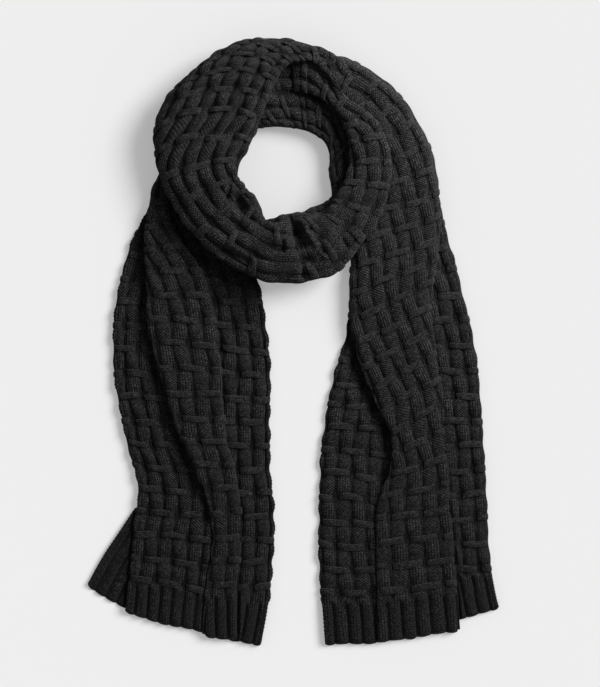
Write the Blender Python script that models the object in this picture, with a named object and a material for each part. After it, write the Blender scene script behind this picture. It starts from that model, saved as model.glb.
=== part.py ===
"""Chunky knitted scarf, laid flat as one neck loop with its two tails hanging side by side.

The scarf is one long ribbed strip. Each stretch of it that shows is one closed solid: its underside
lies flat on the surface, its sides round over like folded knitting, and its top carries the ribs and
the short wrapped bars that lie across two ribs at a time, in a brick pattern. A stretch that passes
under another is cut back to the wall of the one above it, which laps over the joint.

Frame: metres, +Z up, origin on the surface below the middle of the laid scarf, +Y towards the loop.
"""
import math
from collections import namedtuple

import bmesh
import bpy
from mathutils import Vector

MM = 0.001

# Driving sizes of the knitting, in millimetres
RIB_PITCH = 17.6        # from one valley to the next
RIB_DEPTH = 3.8         # crest above valley
BAR_PITCH = 28.0        # from one row of bars to the next
BAR_LENGTH = 11.0       # of a bar along the rib, at its foot
BAR_RISE = 1.5          # bar above crest
HEM_RIBBING = 50.0      # plain ribbing at each end of the scarf

# Driving sizes of the folds, in millimetres
LAP_SHARE = 0.45        # of the free height above a step, that a fold bulges out over it
LAP_LIMIT = 5.0         # the widest such bulge
FLUSH_CORNER = 1.5      # corner height of an edge that laps over nothing
SEAM_GAP = 0.6          # clearance between one stretch and the next
EDGE_FADE = 9.0         # ribs flatten out over this much of a folded edge
EDGE_SHARE = 0.46       # of a stretch's width, the most that one folded edge rounds in
ROUND_SHARE = 2.2       # of the free height above a step, the most that its folded edge rounds in
LEAST_ROUND = 2.0       # and the least that it does, in millimetres
MIDDLE_SHARE = 0.4      # height in a fold's free height, where it is at its widest
CLOSE_ROW = 2.0         # a row of bars keeps this far from a stretch's end
CROWD = 0.35            # least distance between points that run in under a fold
PROFILE_STEPS = 10      # points round each folded edge before the ribs are placed
LAYER_BULGE = 3.0       # the lower layer of a two-layered side swells out this far
LAYER_PINCH = 3.0       # and its fold line pinches in this far below the layer above
BULGE_SHARE = 0.4       # heights of the two in the step's height
PINCH_SHARE = 0.9
FOOT_INSET = 0.01       # a wall's foot stands in by this much
CREASE_FLOOR = 20.0     # creases press nothing below this height
CREASE_FADE = 15.0      # and reach their full depth this far above it
CUTTER_DROP = 20.0      # a cutting prism reaches this far below the surface
CUTTER_TOP = 90.0       # and this far above it
CENTRE_STEPS = 24       # steps between two rows of a table, as its centreline is measured
TINY = 1e-6             # keeps lengths apart from nothing

# One row of a stretch's table is one section across it: the visible outline's two points, the height
# of its top, and the height of the step that its folded edge laps over on each side. Millimetres.
Section = namedtuple("Section", "left_x left_y right_x right_y rise left_step right_step")

# A crease is a soft trough between two points, pressed into the top.
Crease = namedtuple("Crease", "from_x from_y to_x to_y half_width depth")

# Loop, in one run: from the back of the neck down the right, across the front of both tails, up the
# left and over the top. The outer edge is on the left of travel, the inner edge on the right.
LOOP = (
    Section(-11, 330, -11, 296, 34, 31, 25),
    Section(14, 332, 15, 299, 34, 31, 25),
    Section(40, 316, 34, 292, 35, 31, 25),
    Section(63, 293, 50, 277, 37, 31, 25),
    Section(86, 281, 59, 263, 40, 31, 25),
    Section(105, 262, 65, 246, 43, 31, 25),
    Section(117, 232, 68, 226, 44, 31, 25),
    Section(119, 198, 64, 203, 44, 31, 25),
    Section(113, 168, 52, 180, 44, 31, 25),
    Section(98, 136, 41, 163, 44, 30, 25),
    Section(77, 109, 30, 157, 44, 28, 25),
    Section(55, 84, 13, 157, 46, 28, 25),
    Section(23, 73, -5, 156, 48, 26, 25),
    Section(-9, 70, -21, 151, 48, 25, 25),
    Section(-41, 75, -32, 149, 47, 25, 25),
    Section(-68, 88, -37, 162, 46, 25, 25),
    Section(-93, 104, -43, 175, 46, 25, 25),
    Section(-119, 128, -51, 184, 48, 25, 25),
    Section(-140, 157, -62, 192, 48, 24, 25),
    Section(-157, 190, -65, 203, 48, 24, 25),
    Section(-166, 226, -61, 217, 48, 24, 25),
    Section(-166, 262, -51, 234, 50, 24, 25),
    Section(-152, 294, -44, 253, 52, 24, 26),
    Section(-126, 321, -35, 272, 53, 24, 28),
    Section(-95, 346, -27, 295, 53, 24, 34),
    Section(-63, 362, -17, 316, 52, 24, 38),
    Section(-29, 366, -5, 330, 50, 24, 38),
    Section(3, 363, 13, 336, 48, 26, 38),
    Section(28, 357, 31, 332, 47, 32, 38),
    Section(42, 352, 43, 323, 45, 32, 37),
    Section(52, 347, 52, 316, 36, 32, 34),
)
LOOP_RIGHT_END = 10      # row of LOOP where the front crossing starts
LOOP_FRONT_END = 16      # row of LOOP where the left band starts
NECK_UNDER = (
    Section(-85, 300, -37, 259, 22, 9, 9),
    Section(-50, 318, -16, 259, 22, 9, 9),
    Section(-15, 322, 5, 257, 22, 9, 9),
    Section(16, 316, 23, 251, 22, 9, 9),
    Section(44, 296, 38, 241, 22, 9, 9),
    Section(66, 272, 44, 224, 22, 9, 9),
    Section(80, 247, 43, 206, 22, 9, 9),
    Section(84, 220, 45, 190, 22, 9, 9),
    Section(78, 186, 46, 176, 22, 9, 9),
    Section(62, 156, 38, 166, 22, 9, 9),
)

# Left tail, from under the loop down to the hem
TAIL_LEFT = (
    Section(-163, 212, -142, 212, 21, 13, 13),
    Section(-170, 184, -144, 184, 21, 13, 13),
    Section(-176, 157, -146, 157, 21, 13, 13),
    Section(-178, 134, -137, 134, 21, 13, 13),
    Section(-178, 110, -121, 110, 21, 13, 13),
    Section(-177, 86, -107, 86, 21, 13, 13),
    Section(-176, 60, -97, 60, 21, 13, 13),
    Section(-175, 30, -92, 30, 21, 13, 13),
    Section(-170, -2, -88, -2, 21, 13, 13),
    Section(-162, -30, -84, -30, 21, 13, 13),
    Section(-154, -60, -82, -60, 21, 13, 13),
    Section(-144, -92, -80, -92, 21, 13, 13),
    Section(-133, -120, -76, -120, 21, 13, 13),
    Section(-120, -150, -68, -150, 21, 13, 13),
    Section(-106, -182, -62, -182, 19, 13, 13),
    Section(-98, -215, -60, -215, 16, 13, 13),
    Section(-98, -250, -61, -250, 15, 13, 13),
    Section(-104, -285, -64, -285, 14, 13, 13),
    Section(-108, -320, -65, -320, 13, 13, 13),
    Section(-110, -354, -65, -358, 12, 13, 13),
)
TAIL_LEFT_INNER = (
    Section(-152, 162, -84, 162, 10.5, 5, 5),
    Section(-146, 137, -64, 137, 10.5, 5, 5),
    Section(-132, 110, -51, 110, 10.5, 5, 5),
    Section(-116, 80, -42, 80, 10.5, 5, 5),
    Section(-102, 40, -34, 40, 10.5, 5, 5),
    Section(-96, 0, -29, 0, 10.5, 5, 5),
    Section(-92, -40, -26, -40, 10.5, 5, 5),
    Section(-90, -80, -27, -80, 10.5, 5, 5),
    Section(-86, -120, -27, -120, 10.5, 5, 5),
    Section(-77, -160, -26, -160, 10.5, 5, 5),
    Section(-70, -200, -22, -200, 10.5, 5, 5),
    Section(-69, -240, -22, -240, 10.5, 5, 5),
    Section(-71, -280, -25, -280, 10.5, 5, 5),
    Section(-73, -320, -29, -320, 10.5, 5, 5),
    Section(-73, -358, -37, -365, 10, 5, 5),
)
TAIL_LEFT_OUTER = (
    Section(-168, 190, -152, 182, 10.5, 5, 5),
    Section(-178, 157, -160, 150, 10.5, 5, 5),
    Section(-196, 120, -162, 115, 10.5, 5, 5),
    Section(-206, 85, -162, 80, 10.5, 5, 5),
    Section(-214, 50, -161, 47, 10.5, 5, 5),
    Section(-217, 15, -158, 13, 10.5, 5, 5),
    Section(-217, -20, -150, -21, 10.5, 5, 5),
    Section(-214, -55, -141, -56, 10.5, 5, 5),
    Section(-207, -90, -131, -92, 10.5, 5, 5),
    Section(-200, -125, -117, -128, 10.5, 5, 5),
    Section(-190, -158, -102, -164, 10.5, 6, 5),
    Section(-188, -190, -90, -198, 11, 7.5, 5),
    Section(-193, -220, -86, -232, 11, 7.5, 5),
    Section(-195, -252, -87, -268, 11, 7.5, 5),
    Section(-199, -286, -94, -308, 11, 7.5, 5),
    Section(-203, -325, -100, -352, 11, 7.5, 5),
)
TAIL_LEFT_CORNER = (
    Section(-191, -198, -159, -212, 6.5, 3, 3),
    Section(-211, -228, -164, -242, 6.5, 3, 3),
    Section(-232, -260, -171, -281, 6.5, 3, 3),
    Section(-250, -293, -180, -331, 6.5, 3, 3),
)

# Right tail: the outer band of the loop and the raised layer in one run, down to the hem
TAIL_RIGHT = (
    Section(24, 318, 34, 352, 29, 13, 13),
    Section(40, 304, 58, 345, 30, 13, 13),
    Section(56, 286, 84, 334, 30, 13, 13),
    Section(74, 268, 111, 316, 29, 13, 13),
    Section(87, 251, 135, 292, 28, 13, 13),
    Section(97, 233, 153, 263, 28, 13, 13),
    Section(96, 206, 167, 234, 27, 13, 13),
    Section(86, 172, 175, 198, 26, 13, 13),
    Section(76, 133, 178, 157, 25, 13, 13),
    Section(69, 92, 177, 114, 24, 13, 13),
    Section(67, 52, 170, 71, 22, 13, 13),
    Section(70, 12, 169, 30, 21, 13, 13),
    Section(82, -30, 173, -11, 21, 13, 13),
    Section(100, -74, 181, -59, 21, 13, 13),
    Section(118, -113, 183, -104, 21, 13, 13),
    Section(115, -155, 189, -148, 19, 13, 13),
    Section(100, -197, 190, -191, 16, 13, 13),
    Section(99, -242, 195, -239, 15, 13, 13),
    Section(100, -296, 199, -292, 14, 13, 13),
    Section(101, -361, 203, -347, 13, 13, 13),
)
TAIL_RIGHT_INNER = (
    Section(68, 47, 110, 47, 10.5, 5, 5),
    Section(64, 13, 117, 11, 10.5, 5, 5),
    Section(55, -20, 124, -23, 10.5, 5, 5),
    Section(46, -53, 131, -56, 10.5, 5, 5),
    Section(39, -90, 136, -95, 10.5, 5, 5),
    Section(34, -131, 134, -136, 10.5, 5, 5),
    Section(32, -172, 127, -176, 10.5, 5, 5),
    Section(31, -212, 119, -217, 10.5, 5, 5),
    Section(31, -254, 115, -258, 10.5, 5, 5),
    Section(33, -296, 111, -299, 10.5, 5, 5),
    Section(38, -365, 109, -362, 10.5, 5, 5),
)
TAIL_RIGHT_EDGE = (
    Section(131, 162, 179, 169, 10.5, 5, 5),
    Section(134, 124, 188, 128, 10.5, 5, 5),
    Section(142, 82, 199, 88, 10.5, 5, 5),
    Section(151, 42, 209, 48, 10.5, 5, 5),
    Section(158, 4, 218, 10, 10.5, 5, 5),
    Section(164, -44, 225, -38, 10.5, 5, 5),
    Section(169, -92, 229, -88, 10.5, 5, 5),
    Section(172, -140, 232, -136, 10.5, 5, 5),
    Section(176, -188, 235, -185, 10.5, 5, 5),
    Section(179, -236, 237, -233, 10.5, 5, 5),
    Section(183, -281, 241, -277, 10.5, 5, 5),
    Section(188, -341, 250, -321, 10.5, 5, 5),
)

# Largest creases in the loop's front crossing and roll
CREASES = (
    Crease(-2, 146, -4, 112, 7, 9),
    Crease(20, 152, 34, 104, 8, 10),
    Crease(-61, 172, -54, 160, 9, 12),
    Crease(-52, 150, -70, 118, 7, 5),
    Crease(62, 150, 40, 120, 8, 5),
)

# One stretch that shows: its table and the rows of it that it runs over, the ribs across it, the side
# they are counted from, how far its folded edges round in, how far along the first row of bars lies,
# the length of plain hem ribbing, whether its sides show two layers, and what lies over it.
Stretch = namedtuple(
    "Stretch", "name table first last ribs count_from edge_round first_bar hem layered over_it")


def whole(name, table, ribs, count_from, edge_round, first_bar, hem, over_it):
    """A stretch that runs over all of its table, with one layer at its sides."""
    last = len(table) - 1
    return Stretch(name, table, 0, last, ribs, count_from, edge_round, first_bar, hem, False, over_it)


STRETCHES = (
    Stretch("loop_left", LOOP, LOOP_FRONT_END, len(LOOP) - 1, 9, "left", 32, 0, 0, True, ()),
    Stretch("loop_front", LOOP, LOOP_RIGHT_END, LOOP_FRONT_END, 8, "left", 28, 0, 0, True, ()),
    Stretch("loop_right", LOOP, 0, LOOP_RIGHT_END, 7, "left", 24, 0, 0, True, ("loop_left",)),
    whole("neck_under", NECK_UNDER, 4, "right", 12, 14, 0, ("loop_left", "loop_right", "loop_front")),
    whole("tail_left", TAIL_LEFT, 5, "right", 9, 14, HEM_RIBBING, ("loop_left", "loop_front")),
    whole("tail_left_inner", TAIL_LEFT_INNER, 4, "right", 6, 10, HEM_RIBBING,
          ("tail_left", "loop_left", "loop_front")),
    whole("tail_left_outer", TAIL_LEFT_OUTER, 5, "left", 6, 12, HEM_RIBBING, ("tail_left", "loop_left")),
    whole("tail_left_corner", TAIL_LEFT_CORNER, 3, "left", 5, 14, HEM_RIBBING, ("tail_left_outer",)),
    whole("tail_right", TAIL_RIGHT, 7, "right", 14, 16, HEM_RIBBING,
          ("loop_left", "loop_right", "loop_front")),
    whole("tail_right_inner", TAIL_RIGHT_INNER, 5, "left", 6, 12, HEM_RIBBING, ("tail_right",)),
    whole("tail_right_edge", TAIL_RIGHT_EDGE, 3, "right", 6, 8, HEM_RIBBING, ("tail_right",)),
)

YARN_COLOUR = (0.026, 0.025, 0.026, 1.0)
YARN_ROUGHNESS = 0.95


def spline(before, start, end, after, share):
    """Smooth curve through start and end (Catmull-Rom)."""
    square = share * share
    cube = square * share
    return 0.5 * (2 * start + (end - before) * share
                  + (2 * before - 5 * start + 4 * end - after) * square
                  + (3 * start - before - 3 * end + after) * cube)


def section_at(table, place):
    """The section at a place counted in rows of the table."""
    last = len(table) - 1
    row = min(int(place), last - 1)
    share = place - row
    rows = [table[max(0, min(last, row + step))] for step in (-1, 0, 1, 2)]
    return Section(*(spline(*values, share) for values in zip(*rows)))


def lengths_along(table):
    """Places along the table with the centreline's length up to each."""
    places = [step / CENTRE_STEPS for step in range((len(table) - 1) * CENTRE_STEPS + 1)]
    found = []
    total = 0.0
    before = None
    for place in places:
        row = section_at(table, place)
        centre = Vector(((row.left_x + row.right_x) / 2, (row.left_y + row.right_y) / 2))
        if before is not None:
            total += (centre - before).length
        before = centre
        found.append((total, place))
    return found


def place_at(found, length):
    """The place at a given length of the centreline."""
    for (low, from_place), (high, to_place) in zip(found, found[1:]):
        if length <= high:
            return from_place + (to_place - from_place) * max(0.0, length - low) / max(high - low, TINY)
    return found[-1][1]


def length_at(found, row):
    """Length of the centreline up to a row of the table."""
    return next(length for length, place in found if place >= row - TINY)


def folded_edge(rise, step, edge_round):
    """Profile of one folded edge, from its wall's top up and over: distances in from the outline."""
    free = max(rise - step, FLUSH_CORNER)
    wall_top = rise - free
    lap = min(LAP_LIMIT, LAP_SHARE * max(rise - step - FLUSH_CORNER, 0.0))
    middle = wall_top + MIDDLE_SHARE * free
    reach = max(LEAST_ROUND, min(edge_round, ROUND_SHARE * free))
    points = [(lap, wall_top)]
    for count in range(PROFILE_STEPS + 1):
        turn = math.pi / 2 * count / PROFILE_STEPS
        points.append((reach * (1 - math.cos(turn)), middle + (rise - middle) * math.sin(turn)))
    return lap, points


def profile(row, edge_round):
    """The section's upper outline as points (distance across, height), and the two walls' insets."""
    width = math.hypot(row.right_x - row.left_x, row.right_y - row.left_y)
    reach = min(edge_round, EDGE_SHARE * width)
    left_lap, left = folded_edge(row.rise, row.left_step, reach)
    right_lap, right = folded_edge(row.rise, row.right_step, reach)
    points = left + [(width - across, height) for across, height in reversed(right)]
    return width, left_lap, right_lap, points


def rib_places(total, ribs, count_from):
    """Distances along the profile of each valley and crest, counted from one side."""
    count = 2 * ribs
    pitch = max(RIB_PITCH, total / ribs) / 2
    places = [min(step * pitch, total - (count - step) * CROWD) for step in range(count + 1)]
    if count_from == "right":
        places = [total - place for place in reversed(places)]
    return places


def along_profile(points, places):
    """Points and outward directions at the given distances along the profile."""
    found = []
    runs = []
    total = 0.0
    for start, end in zip(points, points[1:]):
        length = math.hypot(end[0] - start[0], end[1] - start[1])
        runs.append((total, length, start, end))
        total += length
    for place in places:
        for low, length, start, end in runs:
            if place <= low + length + TINY:
                break
        share = (place - low) / max(length, TINY)
        point = (start[0] + (end[0] - start[0]) * share, start[1] + (end[1] - start[1]) * share)
        out = (-(end[1] - start[1]) / max(length, TINY), (end[0] - start[0]) / max(length, TINY))
        found.append((point, out))
    return found, total


def crease_depth(x, y):
    """How far the creases press the top down at a point."""
    depth = 0.0
    here = Vector((x, y))
    for crease in CREASES:
        start = Vector((crease.from_x, crease.from_y))
        run = Vector((crease.to_x, crease.to_y)) - start
        share = max(0.0, min(1.0, (here - start).dot(run) / run.length_squared))
        away = (here - start - run * share).length
        depth += crease.depth * math.exp(-(away / crease.half_width) ** 2)
    return depth


def section_points(stretch, row, bar_row, bars):
    """One closed section: two points on the surface, and the ribbed outline between them."""
    width, left_lap, right_lap, outline = profile(row, stretch.edge_round)
    left = Vector((row.left_x, row.left_y))
    across = (Vector((row.right_x, row.right_y)) - left).normalized()
    total = along_profile(outline, [])[1]
    places = rib_places(total, stretch.ribs, stretch.count_from)
    found = along_profile(outline, places)[0]
    points = []
    last = len(found) - 1
    for step, ((distance, height), (out_x, out_z)) in enumerate(found):
        spacing = places[min(step + 1, last)] - places[max(step - 1, 0)]
        to_end = min(places[step], total - places[step])
        open_share = min(1.0, spacing / RIB_PITCH, to_end / EDGE_FADE)
        if step in (0, last):
            relief = 0.0
        elif step % 2:
            relief = BAR_RISE * bars
        else:
            bridged = (step // 2 + bar_row) % 2 == 0
            relief = BAR_RISE * bars if bridged and bars else -RIB_DEPTH
        relief *= open_share
        distance += relief * out_x
        height += relief * out_z
        flat = left + across * distance
        height -= crease_depth(*flat) * max(0.0, min(1.0, (height - CREASE_FLOOR) / CREASE_FADE))
        points.append((flat.x, flat.y, height))
    sides = []
    for inset, step_height, sign in ((left_lap, row.left_step, 1), (width - right_lap, row.right_step, -1)):
        side = [(FOOT_INSET, 0.0)]
        if stretch.layered:
            wall = min(step_height, row.rise - FLUSH_CORNER)
            side += [(-LAYER_BULGE, BULGE_SHARE * wall), (LAYER_PINCH, PINCH_SHARE * wall)]
        placed = [(left + across * (inset + sign * depth), height) for depth, height in side]
        sides.append([(flat.x, flat.y, height) for flat, height in placed])
    return sides[0] + points + sides[1][::-1]


def rows_along(stretch, found):
    """Lengths of a stretch's sections, each with its row of bars and whether a bar lies on it."""
    start = length_at(found, stretch.first) + SEAM_GAP / 2
    end = length_at(found, stretch.last) - SEAM_GAP / 2
    rows = [(start, 0, 0)]
    number = 0
    middle = stretch.first_bar
    while middle < end - stretch.hem - BAR_LENGTH / 2 - CLOSE_ROW:
        if middle - BAR_LENGTH / 2 > start + CLOSE_ROW:
            for offset, bars in ((-BAR_LENGTH / 2, 0), (0, 1), (BAR_LENGTH / 2, 0)):
                rows.append((middle + offset, number, bars))
        number += 1
        middle += BAR_PITCH
    hem_rows = int(stretch.hem / BAR_PITCH)
    for count in range(1, hem_rows + 1):
        length = end - stretch.hem * (1 - count / (hem_rows + 1))
        if length > rows[-1][0] + BAR_LENGTH:
            rows.append((length, number, 0))
    rows.append((end, number, 0))
    return rows


def loft(name, sections, split=True):
    """Closed solid through sections of equal length, with flat ends; split cuts its sides in triangles."""
    mesh = bpy.data.meshes.new(name)
    form = bmesh.new()
    rings = [[form.verts.new([value * MM for value in point]) for point in section] for section in sections]
    for ring, following in zip(rings, rings[1:]):
        for step in range(len(ring)):
            after = (step + 1) % len(ring)
            form.faces.new((ring[step], ring[after], following[after], following[step]))
    form.faces.new(rings[0])
    form.faces.new(rings[-1])
    if split:
        bmesh.ops.triangulate(form, faces=[face for face in form.faces if len(face.verts) == 4])
    bmesh.ops.recalc_face_normals(form, faces=form.faces)
    form.to_mesh(mesh)
    form.free()
    scarf_piece = bpy.data.objects.new(name, mesh)
    bpy.context.collection.objects.link(scarf_piece)
    return scarf_piece


def seam_prism(stretch, lengths):
    """Upright prism on a stretch's walls, wider by the seam gap, that cuts what lies under it."""
    rails = []
    for length in lengths:
        row = section_at(stretch.table, place_at(lengths_of[stretch.name], length))
        width, left_lap, right_lap, _ = profile(row, stretch.edge_round)
        left = Vector((row.left_x, row.left_y))
        across = (Vector((row.right_x, row.right_y)) - left).normalized()
        clear = SEAM_GAP + (LAYER_BULGE if stretch.layered else 0.0)
        start = left + across * (left_lap - clear)
        end = left + across * (width - right_lap + clear)
        rails.append([(start.x, start.y, -CUTTER_DROP), (start.x, start.y, CUTTER_TOP),
                      (end.x, end.y, CUTTER_TOP), (end.x, end.y, -CUTTER_DROP)])
    cutter = loft("cut_by_" + stretch.name, rails, split=False)
    cutter.hide_render = True
    cutter.display_type = "WIRE"
    return cutter


def yarn():
    """Charcoal wool-blend yarn."""
    material = bpy.data.materials.new("charcoal_knit")
    material.use_nodes = True
    shader = material.node_tree.nodes["Principled BSDF"]
    shader.inputs["Base Color"].default_value = YARN_COLOUR
    shader.inputs["Roughness"].default_value = YARN_ROUGHNESS
    shader.inputs["Metallic"].default_value = 0.0
    return material


for leftover in list(bpy.data.objects):
    bpy.data.objects.remove(leftover, do_unlink=True)

finish = yarn()
lengths_of = {stretch.name: lengths_along(stretch.table) for stretch in STRETCHES}
cutters = {}
for stretch in STRETCHES:
    rows = rows_along(stretch, lengths_of[stretch.name])
    sections = []
    for length, bar_row, bars in rows:
        row = section_at(stretch.table, place_at(lengths_of[stretch.name], length))
        sections.append(section_points(stretch, row, bar_row, bars))
    piece = loft(stretch.name, sections)
    piece.data.materials.append(finish)
    piece.data.shade_smooth()
    cutters[stretch.name] = seam_prism(stretch, [length for length, _, _ in rows])
    for above in stretch.over_it:
        cut = piece.modifiers.new("under_" + above, "BOOLEAN")
        cut.operation = "DIFFERENCE"
        cut.solver = "EXACT"
        cut.use_self = True
        cut.object = cutters[above]
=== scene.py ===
"""Looks of a charcoal basket-ribbed knitted scarf, laid flat in one neck loop with its two tails.

Each stretch of the scarf that shows is a wall of knitting on the form of its CAD solid, with its ribs, its
rolled or knobbly edges and its hem. The bars that wrap two ribs at a time and its loose hairs are two
more pieces. The tables are in millimetres. Everything that goes into Blender is in metres.
"""
import math
from collections import namedtuple
from functools import partial

import bpy
import numpy as np
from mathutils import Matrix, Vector


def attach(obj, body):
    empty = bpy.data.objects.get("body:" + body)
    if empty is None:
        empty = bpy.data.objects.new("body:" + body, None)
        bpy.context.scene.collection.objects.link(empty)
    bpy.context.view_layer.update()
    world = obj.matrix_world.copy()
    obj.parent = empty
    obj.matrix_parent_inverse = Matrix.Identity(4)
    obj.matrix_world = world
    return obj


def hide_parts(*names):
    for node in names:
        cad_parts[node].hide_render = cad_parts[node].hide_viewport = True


MM = 0.001
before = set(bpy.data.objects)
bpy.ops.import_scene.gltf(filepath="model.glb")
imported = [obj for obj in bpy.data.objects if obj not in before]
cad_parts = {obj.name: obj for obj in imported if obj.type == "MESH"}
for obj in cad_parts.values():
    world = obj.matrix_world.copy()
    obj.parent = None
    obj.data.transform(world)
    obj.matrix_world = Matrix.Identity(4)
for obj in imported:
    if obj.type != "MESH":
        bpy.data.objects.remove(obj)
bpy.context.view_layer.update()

# ---------------------------------------------------------------- the knitting, in millimetres
RIB_PITCH = 17.6  # from one valley to the next
RIB_DEPTH = 6.4  # valley below crest
RIB_ROUND = 0.93  # of the pitch that a rib's round back takes up
RIB_SQUEEZE = 0.16  # less of it at a bar
RIB_FLAT = 2.1  # power that flattens the back's top
RIB_STEEP = 0.62  # and one that steepens its sides
RIB_BULGE = 1.1  # a rib swells this much halfway between two bars
RIB_LUMP = 0.5  # of that, more or less from one swelling to the next
RIB_CINCH = 2.2  # and is pulled in this much at a bar
CINCH_LENGTH = 8.0  # reach of that pull along the rib
PAIR_PULL = 0.11  # of the pitch, that a bar pulls its two ribs together
VALLEY_RISE = 0.38  # of its depth, that a valley loses halfway between two bars
VALLEY_REACH = 9.0
SWAY = 1.3  # ribs sway from side to side by up to this much
HEM_PITCH = 14.6  # ribs of the hem
HEM_DEPTH = 4.0
HEM_RIB_ROUND = 0.88
HEM_SWAY = 0.5  # of the body's
HEM_SCALLOP = 1.3  # a hem's end runs out on each rib
SCALLOP_ROUND = 0.95
HEM_WAVE = 1.5  # and wavers along its length
HEM_CORNER = 4.0  # its corners draw back by this much
CORNER_WIDTH = 6.0
HEM_LOOSE = 16.0  # all that eases in over this length
HEM_BLEND = 9.0  # the body's ribs turn into the hem's over this length
HEM_AHEAD = 2.0  # from this far before it
HEM_ROUND = 4.5  # the hem's end rounds down over this length
HEM_DROP = 0.96  # which leaves a fifth of its height at the very end
END_ROUND = 20.0  # the loop's two ends and the raised tails' starts round down over this length
END_DROP = 0.9  # which leaves a third
HEM_SHADE = 0.45  # painted shade: a hem's tight ribbing is painted this much darker, less of its crests left light
BAR_PITCH = 28.2  # from one row of bars to the next
BAR_WIDTH = 8.4  # of a bar, along the ribs
BAR_REACH = 0.84  # half a bar's length, in pitches
BAR_LIFT = -1.8  # underside of a bar above the crests
BAR_THICK = 2.1
BAR_SQUARE = 0.6  # power that squares its section
BAR_STRANDS = 4  # strands side by side in a bar
STRAND_DEPTH = 0.7
STRAND_GROOVE_SHADE = 0.35  # painted shade: this share of a strand's light is left in the groove between two
BAR_LENGTHS = (0.88, 1.07)  # bars differ by these factors
BAR_WIDTHS = (0.86, 1.08)
BAR_SLANT = 0.09  # of its length, that a bar slants by at most
BAR_BOW = 1.3  # that it bows by
BAR_SHIFT = 1.5  # and that it lies off its row
BAR_NARROW = 0.12  # of its width is gone at its ends
BAR_THIN = 0.35  # of its thickness
BAR_END_SHADE = 0.5  # and of its light, as painted shade where its ends dive
BAR_DIVE = 0.62  # of half its length, from which its ends dive
BAR_SINK = 0.72  # of RIB_DEPTH, to where they go
BAR_SADDLE = 0.5  # its middle sinks between its two ribs
SADDLE_WIDTH = 0.16
BAR_BEYOND = 0.35  # of a pitch, that its middle may lie outside the outline
BAR_REPEATS = 4  # of the yarn's pattern along it
BAR_PLACES = 11  # sections along a bar
STITCH_WIDTH = RIB_PITCH / 3
STITCH_HEIGHT = 3.1
SELVAGE_WIDTH = 3.2  # chain of knots along the cloth's own edge
SELVAGE_IN = 2.5  # its middle, in from the outline
SELVAGE_KNOT = 4.3  # from one knot to the next
SELVAGE_RISE = 1.0
SELVAGE_BASE = 0.8
KNOT_ROUND = 0.7  # power that rounds a knot
KNOT_MIDDLE = 0.6
GROOVE_IN = 8.5  # groove inside the chain
GROOVE_WIDTH = 1.6
GROOVE_DEPTH = 1.2
TIGHT_SHARE = 0.16  # of the relief stays on a folded edge, for each millimetre of its height
TIGHT_LEAST = 0.25
TIGHT_REACH = 5.0
CALM_FLAT = 0.72  # of the relief is gone in the middle of a calm place
CALM_DEPTH = 0.8  # which lies this much lower
WALL = 2.4  # cloth below the valleys
WALL_MOST = 0.38  # of a hollow stretch's height
FLOOR_GAP = 0.5  # everything keeps this far above the surface
UNDER_CLEAR = 1.2  # what runs in under another piece keeps this far below it
UNDER_REACH = 3.0  # and starts to dip this far before its outline
SAG_SHARE = 0.5  # of its height, that a lower layer loses on its way in under a pleat on its right
SAG_REACH = 30.0  # over this distance
SAG_END = -225.0  # down to here, where pleat and layer lie level
SAG_FADE = 70.0
CREASE_FROM = 28.0  # creases reach what lies above this height
CREASE_FADE = 10.0  # and are at their full depth this much higher
TOP_FROM = 0.55  # of a stretch's height, above which it is uneven
TOP_FADE = 0.3
UNEVEN_HEIGHT = 40.0  # of a stretch that is as uneven as can be
UNEVEN_RANGE = (0.15, 0.7)

# ---------------------------------------------------------------- how the pieces are divided
STEP_ALONG = 1.35
STEP_ACROSS = 1.25
STEP_HIDDEN = 5.0  # across the parts of a fold that nothing shows
HIDDEN_LEAST = 0.3  # of a fold's underside is hidden at least
COARSE = 6  # the plain inner side has one point for this many of the outer side
TURNS = 7  # points round each quarter of a folded edge
HEM_TURNS = 5  # and round a hem's end
ROW_PLACES = 24  # places between two rows of a table, to measure a stretch's length
EDGE_WIDEST = 0.45  # of its height, where a folded edge is widest
EDGE_BELOW = 0.7  # of its tuck, that it turns in below that
BELOW_MOST = 0.9  # but no more than this much of its height
REACH_MOST = 0.46  # of the width, that an edge rounds in
TUCK_MOST = 0.44  # and tucks under
FRINGE = 5.0  # fine mesh goes on this far past a fold's widest line
SIDE_MOST = 1.2  # half widths from the middle, where rows of bars stop bending
DRIFT_EASE = 3.0  # rows of a table over which ribs begin to run over an outline
HAIRS = 520  # loose hairs
HAIRS_LENGTH = 500.0  # to this length of a stretch
HAIR_LENGTH = 4.2
HAIR_LENGTHS = (0.5, 1.4)  # hairs differ by these factors
HAIR_RADIUS = 0.11
HAIR_RADII = (0.7, 1.3)
HAIR_TAPER = 0.7  # of the radius is left at the bend
HAIR_KNEE = 0.55  # of its length, where a hair bends
HAIR_LIE = (0.3, 0.9)  # how far it lies over, from 0 to 1
HAIR_BEND = 0.3  # and further beyond the bend
HAIR_SPREAD = 0.35  # of the hairs' directions
HAIR_ROOT = 0.6  # of a hair stands in the cloth


def rows_of(kind, *rows):
    """A table with named columns."""
    return tuple(kind(*row) for row in rows)


def layer(heights, *rows):
    """Sections of one layer. A row gives its outline, and its heights up to the last that differs."""
    return rows_of(Section, *(row + heights[len(row) - 4:] for row in rows))


# Slow waves over a plan: height, the run along x and y for one radian, and the angle they start at.
Wave = namedtuple("Wave", "height run_x run_y start")
RIB_SWAYS = rows_of(Wave, (0.6, 11.0, 19.0, 0), (0.4, -23.0, 9.3, 1.7))
ROW_WANDERS = rows_of(Wave, (1.5, 27.0, 53.0, 0), (0.9, -13.0, 31.0, 0))
UNEVEN = rows_of(Wave, (0.8, 21.0, 37.0, 0.6), (0.7, -29.0, 17.0, 0))

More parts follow.
